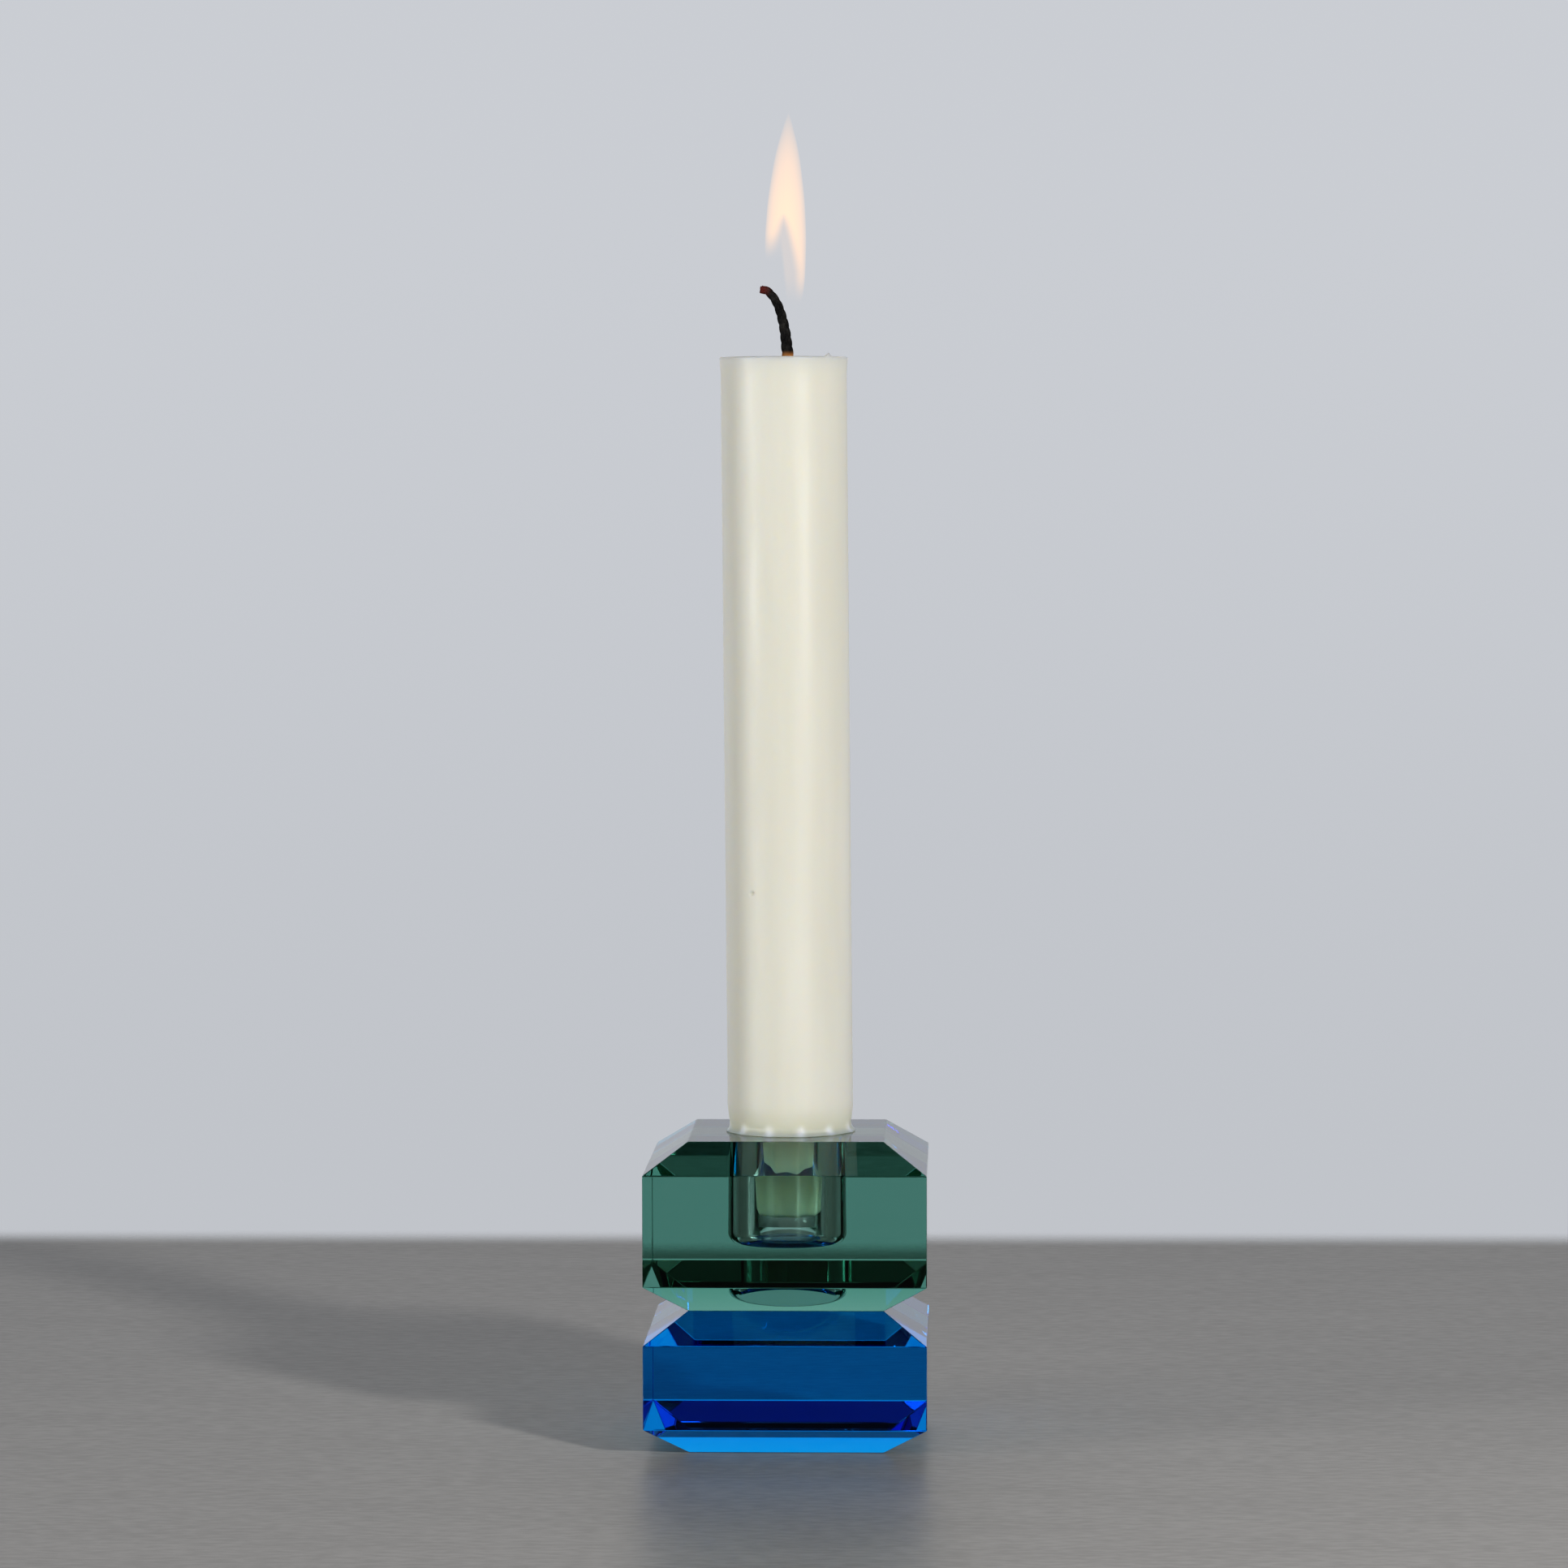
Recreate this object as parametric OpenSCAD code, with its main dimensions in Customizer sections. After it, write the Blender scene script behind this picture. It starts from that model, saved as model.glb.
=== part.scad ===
// Glass candlestick: two bevelled square blocks of polished glass, bonded one on the other,
// with a ribbed-foot dinner candle standing in the round socket of the upper block.
// Millimetres, +Z up. The origin is the centre of the base, on the surface that it stands on.

/* [Blocks] */
// Side of the square plan of both blocks
block_w = 50; // [42:0.5:70]
// Height of the lower block
lower_h = 25.2; // [18:0.1:45]
// Height of the upper block
upper_h = 30.1; // [25:0.1:60]
// Run of every bevel, from a side face in to a flat
bevel_run = 7.7; // [3:0.1:9.5]
// Drop of every bevel, along a side face
bevel_drop = 5.2; // [2:0.1:8]

/* [Bond] */
// Thickness of the adhesive film between the two blocks
film_t = 0.1; // [0.05:0.01:0.3]
// How far the film stays in from the edges of the flats
film_inset = 0.1; // [0.05:0.01:1]

/* [Socket] */
// Diameter of the socket in the upper block
socket_d = 21.2; // [17:0.1:27]
// Depth of the socket below the top flat
socket_depth = 19.4; // [14:0.1:24]
// Radius between the socket's wall and its floor
socket_round = 2.4; // [0.5:0.1:4]
// Chamfer at the mouth of the socket
mouth_chamfer = 0.25; // [0.1:0.05:0.6]

/* [Candle] */
// Diameter of the candle's straight shaft
candle_d = 22.5; // [18:0.1:28]
// Height of the candle above the top flat
candle_h = 138.6; // [60:0.1:200]
// Free space between the tip of the ribbed foot and the socket's floor
under_foot = 5.2; // [1:0.1:8]
// Number of ribs round the foot
rib_n = 12; // [6:1:18]
// Width of a rib at its root
rib_w = 2.4; // [1:0.1:3]
// Depth of the flutes between the ribs, at the mouth of the socket
flute_depth = 0.7; // [0.3:0.05:2]
// How much the radius of the foot shrinks from the mouth to its tip
foot_taper = 1.25; // [0.5:0.05:4]
// Height of the waist above the lip, where the shaft narrows into the foot
waist_h = 4.5; // [2:0.1:10]
// How far the waist is drawn in
waist_in = 0.35; // [0.1:0.05:1]
// How far the lip of pressed wax reaches past the shaft or the socket
lip_out = 0.3; // [0.1:0.05:1]
// Thickness of the lip at its edge
lip_t = 0.35; // [0.2:0.05:1]
// Rounding of the candle's top edge
top_round = 0.6; // [0.3:0.1:3]
// Depth of the melted dish round the wick
dish_depth = 1.6; // [0.5:0.1:4]

/* [Wick] */
// Diameter of the wick
wick_d = 1.8; // [1:0.1:3]
// How far the wick stands to the side of the candle's axis
wick_off = 0.8; // [0:0.1:2]
// Straight length of wick above the dish
wick_straight = 4; // [1:0.1:8]
// Radius of the wick's curl
wick_bend_r = 11.7; // [6:0.1:30]
// Angle of the wick's curl
wick_bend_a = 54; // [10:1:85]

/* [Fits] */
// Gap all round between the ribs and the socket's wall
foot_gap = 0.35; // [0.1:0.05:1]
// Gap under the lip of the candle
seat_gap = 0.05; // [0.02:0.01:0.3]

/* [Hidden] */
$fn = 96;
// Height of the joint between the blocks, and of the upper block's base over the film
joint_z = lower_h;
upper_z = joint_z + film_t;
// Top flat, socket floor, candle foot and candle top
rim_z = upper_z + upper_h;
socket_z = rim_z - socket_depth;
foot_z = socket_z + under_foot;
top_z = rim_z + candle_h;
dish_z = top_z - dish_depth;
// Side of the square flats
flat_w = block_w - 2 * bevel_run;
// Radii of the socket, the shaft, the wick and the foot, and the lip's radius and underside
socket_r = socket_d / 2;
candle_r = candle_d / 2;
wick_r = wick_d / 2;
rib_r = socket_r - foot_gap;
core_r = rib_r - flute_depth;
lip_r = max(candle_r, socket_r + mouth_chamfer) + lip_out;
lip_z = rim_z + seat_gap;
foot_h = lip_z - foot_z;
// The cuts run this far past the faces that they open through
cut_past = 1;

// Side view of a block: a rectangle with all four corners bevelled
module block_outline(h) {
    half = block_w / 2;
    polygon([
        [-half, bevel_drop], [-flat_w / 2, 0],
        [flat_w / 2, 0], [half, bevel_drop],
        [half, h - bevel_drop], [flat_w / 2, h],
        [-flat_w / 2, h], [-half, h - bevel_drop]
    ]);
}

// A square block with mitred bevels round its top and bottom flats
module bevelled_block(h) {
    intersection() {
        rotate([90, 0, 0])
            linear_extrude(block_w, center = true)
                block_outline(h);
        rotate([90, 0, 90])
            linear_extrude(block_w, center = true)
                block_outline(h);
    }
}

// The space of the socket: a bore with a rounded floor and a chamfered mouth
module socket_cut() {
    rotate_extrude() {
        translate([0, socket_z + socket_round])
            square([socket_r, socket_depth - socket_round + cut_past]);
        translate([0, socket_z])
            square([socket_r - socket_round, socket_depth]);
        translate([socket_r - socket_round, socket_z + socket_round])
            circle(socket_round);
    }
    translate([0, 0, rim_z - mouth_chamfer])
        cylinder(h = mouth_chamfer + cut_past,
                 r1 = socket_r, r2 = socket_r + mouth_chamfer + cut_past);
}

// Side view of the turned candle, without its ribs
module candle_outline() {
    round_x = candle_r - top_round;
    round_z = top_z - top_round;
    polygon(concat(
        [
            [0, foot_z],
            [core_r - foot_taper, foot_z],
            [core_r, lip_z],
            [lip_r, lip_z],
            [lip_r, lip_z + lip_t],
            [candle_r - waist_in, lip_z + 2 * lip_t],
            [candle_r, lip_z + waist_h]
        ],
        [for (a = [0 : 15 : 90]) [round_x + top_round * cos(a), round_z + top_round * sin(a)]],
        [[0, dish_z]]
    ));
}

// The ribs of the foot, cut to a cone that clears the socket
module foot_ribs() {
    intersection() {
        translate([0, 0, foot_z])
            cylinder(h = foot_h, r1 = rib_r - foot_taper, r2 = rib_r);
        for (i = [0 : rib_n - 1])
            rotate([0, 0, (i + 0.5) * 360 / rib_n])
                translate([0, 0, foot_z])
                    linear_extrude(foot_h)
                        polygon([
                            [0, -rib_w / 2], [rib_r, -rib_w / 4],
                            [rib_r, rib_w / 4], [0, rib_w / 2]
                        ]);
    }
}

// Blue glass base
module lower_block() {
    color([0.05, 0.42, 0.70, 0.6])
        bevelled_block(lower_h);
}

// Clear adhesive that bonds the two flats
module bond_film() {
    film_w = flat_w - 2 * film_inset;
    color([0.85, 0.90, 0.92, 0.8])
        translate([-film_w / 2, -film_w / 2, joint_z])
            cube([film_w, film_w, film_t]);
}

// Green glass block with the socket
module upper_block() {
    color([0.28, 0.50, 0.45, 0.6])
        difference() {
            translate([0, 0, upper_z])
                bevelled_block(upper_h);
            socket_cut();
        }
}

// Wax candle, cast round its wick
module candle() {
    color([0.86, 0.86, 0.80])
        difference() {
            union() {
                rotate_extrude()
                    candle_outline();
                foot_ribs();
            }
            translate([wick_off, 0, foot_z - cut_past])
                cylinder(h = top_z - foot_z + 2 * cut_past, r = wick_r);
        }
}

// Cotton wick: straight through the wax, then curling to the left
module wick() {
    curl_z = dish_z + wick_straight;
    color([0.12, 0.10, 0.09]) {
        translate([wick_off, 0, foot_z])
            cylinder(h = curl_z - foot_z, r = wick_r);
        translate([wick_off - wick_bend_r, 0, curl_z])
            rotate([90, 0, 0])
                rotate_extrude(angle = wick_bend_a)
                    translate([wick_bend_r, 0])
                        circle(wick_r);
    }
}

lower_block();
bond_film();
upper_block();
candle();
wick();
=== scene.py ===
"""Looks for the glass candlestick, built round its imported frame: glass blocks, wax candle and wick."""

import math

import bmesh
import bpy
from mathutils import Matrix, Quaternion, Vector


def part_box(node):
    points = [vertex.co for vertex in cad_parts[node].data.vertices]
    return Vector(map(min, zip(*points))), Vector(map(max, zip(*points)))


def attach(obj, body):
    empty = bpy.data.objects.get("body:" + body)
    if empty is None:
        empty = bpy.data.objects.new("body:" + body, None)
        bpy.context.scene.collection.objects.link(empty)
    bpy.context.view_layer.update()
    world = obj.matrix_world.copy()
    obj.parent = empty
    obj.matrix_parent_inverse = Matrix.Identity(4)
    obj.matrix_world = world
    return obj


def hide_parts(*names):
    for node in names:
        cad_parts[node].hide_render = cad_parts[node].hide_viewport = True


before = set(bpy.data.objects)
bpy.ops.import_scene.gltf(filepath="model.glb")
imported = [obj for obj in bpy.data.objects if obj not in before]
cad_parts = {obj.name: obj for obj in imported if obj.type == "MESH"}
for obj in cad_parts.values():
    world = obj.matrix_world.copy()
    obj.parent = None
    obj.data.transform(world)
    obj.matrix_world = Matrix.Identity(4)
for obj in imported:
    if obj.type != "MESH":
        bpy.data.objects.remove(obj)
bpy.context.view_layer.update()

MM = 0.001

# Places that the frame gives
BASE_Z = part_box("lower_block")[0].z
LOWER_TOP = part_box("lower_block")[1].z
UPPER_BASE, RIM_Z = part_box("upper_block")[0].z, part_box("upper_block")[1].z
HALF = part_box("upper_block")[1].x
FLAT_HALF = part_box("bond_film")[1].x + 0.1 * MM
JOINT_Z = (LOWER_TOP + UPPER_BASE) / 2
FOOT_Z, TOP_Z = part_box("candle")[0].z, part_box("candle")[1].z

# Glass
BEVEL_DROP = 5.2 * MM      # drop of the bevels along a side face
BACK_EXTRA = 0.45 * MM     # how much further up the green block's back lower bevel reaches
ARRIS = 0.16 * MM          # how far the fine polished chamfer reaches in from every sharp edge
SOCKET_R = 10.6 * MM
SOCKET_DEPTH = 19.4 * MM
SOCKET_ROUND = 2.4 * MM    # between the socket's wall and its floor
MOUTH_ROUND = 0.25 * MM
ROUND_STEPS = 160          # steps round the socket
BOND_LAP = 0.02 * MM       # each block runs this far past the joint, so that light crosses it as glue
GLASS_IOR = 1.52
GREEN_TINT, GREEN_DENSITY = (0.25, 0.61, 0.53), 50.0
BLUE_TINT, BLUE_DENSITY = (0.0, 0.893, 0.99), 200.0
HAZE = 0.015               # roughness that smears add; wiping lines add a share of it
EDGE_WEAR = 0.12           # roughness that the fine chamfers add
SOCKET_FLOOR_SATIN = 0.1   # roughness that the socket's floor adds

# Wax
SHAFT_R = 11.25 * MM
LIP_R = 11.5 * MM          # thin lip of wax pressed out over the mouth of the socket
WAIST_R = 10.93 * MM
FOOT_TOP_R = 10.12 * MM    # over the ribs, at the mouth of the socket
FOOT_TIP_R = 9.0 * MM
FOOT_ROUND = 1.1 * MM
FLUTE_DEPTH = 0.7 * MM
RIBS = 12
RIB_TURN = math.radians(3.5)   # how far the ribs are turned clockwise from the blocks' sides
WAX_STEPS = 240            # steps round the candle, 20 for each rib
DISH_R = SHAFT_R - 0.6 * MM
DISH_DEPTH = 1.6 * MM      # the melted dish round the wick
DISH_EDGE = 0.25 * MM      # how far the dish's edge lies under the candle's top
DISH_ROWS = 16
TOP_FLARE = 0.2 * MM       # the softened top edge leans out by this much
SIT_X = 0.35 * MM          # the candle stands to one side, where it touches the socket's mouth,
LEAN = 0.0068              # and leans back the other way, by this much for each unit of height
PIT = Vector((-6.2 * MM, -9.39 * MM, 98.8 * MM))
PIT_R, PIT_DEPTH = 0.55 * MM, 0.35 * MM
PIT_ZONE = 1.5 * MM        # the rows are finer this far above and below the pit
BURR = Vector((8.2 * MM, -7.7 * MM, TOP_Z))
BURR_R, BURR_HEIGHT = 0.9 * MM, 0.6 * MM
SCALLOP = 0.42             # depth of the flutes' ends over the lip, as a share of their full depth
CREST_BULGE = 0.22 * MM    # how far the pressed ridges stand out near the lip
RAGGED = 0.9 * MM          # how ragged the lip's edge is
UNEVEN = 0.12 * MM         # how uneven the shaft is
SHAFT_WAX = (0.745, 0.74, 0.665, 1), (0.79, 0.787, 0.725, 1)   # two shades of its mottling
LOW_WAX, LOW_WAX_SHARE = (0.70, 0.69, 0.51, 1), 0.75           # round the mouth, outside the socket
# Foot wax: its own colour at the tip, darkening up the foot to painted shade under the lip and the socket's
# mouth
FOOT_TIP_WAX, FOOT_TOP_SHADED_WAX = (0.68, 0.68, 0.53, 1), (0.58, 0.58, 0.44, 1)
RIDGE_WAX = (0.97, 0.97, 0.95, 1)
WAX_IOR = 1.44

# Wick
WICK_OFF = 0.8 * MM        # from the candle's axis
WICK_R = 1.12 * MM         # half its width where it leaves the wax
STRANDS, STRAND_R = 3, 0.76 * MM
PLAIT_PITCH = 5.0 * MM
PLAIT_RINGS = 520          # rings along each strand
WEAVE = 0.6                # how far the strands cross fore and aft, as a share of their sideways reach
BURNT_SHARE = 0.68         # width of the burnt end, as a share of the width at the wax
BURNT_OVER = 12 * MM       # height over which the wick narrows to it
INSIDE_ROWS = 40           # steps of its middle line inside the wax
# The curl, in mm from where the wick leaves the wax
CURL = [(0.0, 0.0), (-0.35, 3.2), (-0.9, 6.5), (-1.95, 9.6), (-3.4, 11.6), (-4.8, 12.1)]
CHAR = (0.004, 0.004, 0.005, 1), (0.02, 0.019, 0.018, 1)       # two shades of its mottling
# Orange-tan at the wick's foot: cotton soaked with wax, with painted glow of the flame on it
SOAKED_COTTON_AND_FLAME_GLOW = (0.42, 0.19, 0.065, 1)
EMBER = (0.11, 0.022, 0.018, 1)

# Studio
WALL = (0.665, 0.685, 0.725)
WALL_FOOT = (0.605, 0.625, 0.663)
WALL_HIGH = (1.02, 1.03, 1.05)
CEILING = (0.012, 0.013, 0.014)
ROOM_LOW, ROOM_HIGH = (0.10, 0.10, 0.105), (0.15, 0.15, 0.155)
FLOOR_DARK, FLOOR_LIGHT = (0.33, 0.315, 0.298, 1), (0.42, 0.404, 0.386, 1)
FLOOR_ROUGHNESS, FLOOR_IOR = 0.41, 1.62
FLOOR_GAP = 0.05 * MM      # the floor lies this far under the base
FLOOR_BACK, FLOOR_FRONT, FLOOR_SIDE = 0.275, -2.2, 2.2
FADE_FROM = 0.248          # the floor fades out from here to its back edge
LIGHTS_AIM = Vector((0, 0, 0.09))
TOE = 0.08                 # how strongly the picture's darks are held down
TONE_LEVELS = (0.02, 0.05, 0.1, 0.2, 0.45)
LENS, SENSOR = 130.05, 36.0
CAMERA_PLACE = (0.0319, -1.0127, 0.1749)
CAMERA_TURN = (1.843, -3.229, -0.134)      # heading, pitch and roll, in degrees
BOUNCES, GLOSSY_BOUNCES = 32, 16

# Flame: height over the candle's top and half-width, in mm
FLAME = [(8.0, 0.0), (8.6, 2.2), (10.5, 3.1), (14.0, 3.55), (20.0, 3.7), (24.2, 3.55),
         (29.1, 3.15), (35.8, 2.15), (40.6, 0.95), (43.6, 0.0)]
FLAME_START, FLAME_BEND = -0.35, 0.75      # mm to the side at its foot, and bent back by its top
FLAME_RISE = 43.2 * MM     # height over which it bends
FLAME_GLOW, FLAME_STRENGTH = (1.0, 0.42, 0.0, 1), 88.0


# ---------------------------------------------------------------- small tools

def add_node(tree, kind, settings=None, **inputs):
    """One node. An input is a plain value or another node's output; a space in its name is written as _."""
    made = tree.nodes.new(kind)
    for name, value in (settings or {}).items():
        setattr(made, name, value)
    for name, value in inputs.items():
        give(tree, made.inputs[name.replace("_", " ")], value)
    return made


def give(tree, socket, value):
    """Links an output to a socket, or sets the socket's own value."""
    if isinstance(value, bpy.types.NodeSocket):
        tree.links.new(value, socket)
    else:
        socket.default_value = value


def sum_up(tree, operation, *values):
    """A Math node's result."""
    made = tree.nodes.new("ShaderNodeMath")
    made.operation = operation
    for socket, value in zip(made.inputs, values):
        give(tree, socket, value)
    return made.outputs[0]


def product(tree, first, second):
    """Two values multiplied."""
    return sum_up(tree, "MULTIPLY", first, second)


def remap(tree, value, low, high, to_low=0.0, to_high=1.0, smooth=True):
    """Value moved from one range to another, and held at its ends."""
    made = add_node(
        tree, "ShaderNodeMapRange", {"interpolation_type": "SMOOTHSTEP" if smooth else "LINEAR"},
        Value=value, From_Min=low, From_Max=high, To_Min=to_low, To_Max=to_high,
    )
    return made.outputs["Result"]


def blend_colours(tree, share, first, second):
    """Two colours mixed by share."""
    made = tree.nodes.new("ShaderNodeMix")
    made.data_type = "RGBA"
    give(tree, made.inputs["Factor"], share)
    give(tree, made.inputs[6], first)
    give(tree, made.inputs[7], second)
    return made.outputs[2]


def noise_value(tree, where, scale, detail=2.0, stretch=(1, 1, 1)):
    """A noise's grey value at a place, stretched along the axes."""
    stretched = add_node(tree, "ShaderNodeVectorMath", {"operation": "MULTIPLY"})
    give(tree, stretched.inputs[0], where)
    give(tree, stretched.inputs[1], stretch)
    made = add_node(
        tree, "ShaderNodeTexNoise", Vector=stretched.outputs[0], Scale=scale, Detail=detail,
    )
    return made.outputs["Fac"]


def new_group(name, inputs, outputs, kind="ShaderNodeTree"):
    """A node group with named inputs {name: (socket type, value)} and outputs {name: socket type}."""
    group = bpy.data.node_groups.new(name, kind)
    for label, (socket_type, value) in inputs.items():
        socket = group.interface.new_socket(label, in_out="INPUT", socket_type=socket_type)
        if value is not None:
            socket.default_value = value
    for label, socket_type in outputs.items():
        group.interface.new_socket(label, in_out="OUTPUT", socket_type=socket_type)
    return group, group.nodes.new("NodeGroupInput").outputs, group.nodes.new("NodeGroupOutput").inputs


def place_group(tree, group, **inputs):
    """Places a node group in a material with its own values."""
    made = tree.nodes.new("ShaderNodeGroup")
    made.node_tree = group
    for name, value in inputs.items():
        give(tree, made.inputs[name.replace("_", " ")], value)
    return made.outputs


def new_shaper(name, inputs):
    """A Geometry Nodes tree with named inputs."""
    return new_group(
        name, {"Geometry": ("NodeSocketGeometry", None), **inputs},
        {"Geometry": "NodeSocketGeometry"}, "GeometryNodeTree",
    )


def finish_shaper(tree, result, geometry, material):
    """Ends a Geometry Nodes tree: real faces, with their material."""
    real = add_node(tree, "GeometryNodeRealizeInstances", Geometry=geometry)
    coated = add_node(tree, "GeometryNodeSetMaterial", Geometry=real.outputs[0], Material=material)
    tree.links.new(coated.outputs[0], result["Geometry"])
    return tree


def store(tree, geometry, name, value):
    """Geometry that carries a value for its material, as a named attribute."""
    made = add_node(
        tree, "GeometryNodeStoreNamedAttribute", {"data_type": "FLOAT"}, Geometry=geometry, Name=name,
    )
    give(tree, made.inputs["Value"], value)
    return made.outputs[0]


def shape_up(piece, tree, **values):
    """Runs a Geometry Nodes tree on a piece with its inputs set, and leaves a plain mesh."""
    shaper = piece.modifiers.new(tree.name, "NODES")
    shaper.node_group = tree
    for socket in tree.interface.items_tree:
        label = socket.name.replace(" ", "_")
        if label in values:
            shaper[socket.identifier] = values[label]
    depsgraph = bpy.context.evaluated_depsgraph_get()
    mesh = bpy.data.meshes.new_from_object(piece.evaluated_get(depsgraph), depsgraph=depsgraph)
    piece.modifiers.remove(shaper)
    piece.data = mesh
    return piece


def new_material(name):
    """An empty material, its tree and its output node."""
    material = bpy.data.materials.new(name)
    material.use_nodes = True
    tree = material.node_tree
    tree.nodes.clear()
    return material, tree, tree.nodes.new("ShaderNodeOutputMaterial")


def mesh_object(name, mesh):
    """A scene object at the origin that holds a mesh."""
    made = bpy.data.objects.new(name, mesh)
    bpy.context.scene.collection.objects.link(made)
    return made


def mesh_from(bm, name):
    """Turns a bmesh into an object."""
    mesh = bpy.data.meshes.new(name)
    bm.to_mesh(mesh)
    bm.free()
    return mesh_object(name, mesh)


def dress(piece, material, body, slot, *nodes):
    """Gives a piece its material and its body, and hides the nodes that it stands for; slot is not used."""
    if material.name not in piece.data.materials:
        piece.data.materials.append(material)
    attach(piece, body)
    if nodes:
        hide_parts(*nodes)


# ---------------------------------------------------------------- shared effects

def build_polish():
    """Polished glass after handling: faint smears, wiping lines, worn edges and a satin socket floor."""
    group, given, result = new_group(
        "polish",
        {
            "Haze": ("NodeSocketFloat", HAZE), "Wipe Scale": ("NodeSocketFloat", 300.0),
            "Edge Wear": ("NodeSocketFloat", EDGE_WEAR),
        },
        {"Roughness": "NodeSocketFloat", "Height": "NodeSocketFloat"},
    )
    place = group.nodes.new("ShaderNodeTexCoord").outputs["Object"]
    smear = remap(group, noise_value(group, place, 55.0, 3.0), 0.45, 0.75)
    wipe = remap(group, noise_value(group, place, given["Wipe Scale"], 2.0, (1, 5, 1)), 0.5, 0.8)
    arris = add_node(group, "ShaderNodeAttribute", {"attribute_name": "arris"}).outputs["Fac"]
    ground = add_node(group, "ShaderNodeAttribute", {"attribute_name": "ground"}).outputs["Fac"]
    rubbed = sum_up(group, "MULTIPLY_ADD", wipe, 0.4, smear)
    marks = product(group, rubbed, given["Haze"])
    worn = sum_up(group, "MULTIPLY_ADD", arris, given["Edge Wear"], marks)
    rough = sum_up(group, "MULTIPLY_ADD", ground, SOCKET_FLOOR_SATIN, worn)
    group.links.new(rough, result["Roughness"])
    grit = noise_value(group, place, 2500.0, 2.0)
    coarse = sum_up(group, "MAXIMUM", arris, ground)
    waviness = noise_value(group, place, 22.0, 1.0)
    group.links.new(sum_up(group, "MULTIPLY_ADD", grit, coarse, waviness), result["Height"])
    return group


def build_grain():
    """Fine grain on wax and cotton: mottling for colour, and a height for bump."""
    group, given, result = new_group(
        "fine_grain",
        {"Scale": ("NodeSocketFloat", 400.0), "Stretch": ("NodeSocketVector", (1, 1, 0.1))},
        {"Mottle": "NodeSocketFloat", "Height": "NodeSocketFloat"},
    )
    place = group.nodes.new("ShaderNodeTexCoord").outputs["Object"]
    mapping = add_node(group, "ShaderNodeMapping", Vector=place, Scale=given["Stretch"])
    mottle = add_node(
        group, "ShaderNodeTexNoise", Vector=mapping.outputs[0],
        Scale=product(group, given["Scale"], 0.3), Detail=3.0,
    )
    fine = add_node(
        group, "ShaderNodeTexNoise", Vector=mapping.outputs[0], Scale=given["Scale"], Detail=4.0,
    )
    group.links.new(mottle.outputs["Fac"], result["Mottle"])
    group.links.new(fine.outputs["Fac"], result["Height"])
    return group


# ---------------------------------------------------------------- materials

def glass_finish(name, polish, tint, density):
    """Clear polished glass, coloured through its thickness: tint is what passes most."""
    material, tree, output = new_material(name)
    marks = place_group(tree, polish)
    bump = add_node(tree, "ShaderNodeBump", Strength=0.04, Distance=0.00002, Height=marks["Height"])
    shader = add_node(
        tree, "ShaderNodeBsdfPrincipled",
        Base_Color=(1, 1, 1, 1), Roughness=marks["Roughness"], IOR=GLASS_IOR, Normal=bump.outputs[0],
    )
    shader.inputs["Transmission Weight"].default_value = 1.0
    absorb = add_node(tree, "ShaderNodeVolumeAbsorption", Color=(*tint, 1), Density=density)
    tree.links.new(shader.outputs[0], output.inputs["Surface"])
    tree.links.new(absorb.outputs[0], output.inputs["Volume"])
    return material


def adhesive_finish():
    """The clear bead of adhesive at the edge of the joint."""
    material, tree, output = new_material("clear_adhesive")
    place = tree.nodes.new("ShaderNodeTexCoord").outputs["Object"]
    lumps = remap(tree, noise_value(tree, place, 900.0, 2.0), 0.3, 0.8, 0.03, 0.25)
    shader = add_node(
        tree, "ShaderNodeBsdfPrincipled", Base_Color=(0.95, 0.97, 0.98, 1), Roughness=lumps, IOR=1.5,
    )
    shader.inputs["Transmission Weight"].default_value = 1.0
    tree.links.new(shader.outputs[0], output.inputs["Surface"])
    return material


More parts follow.
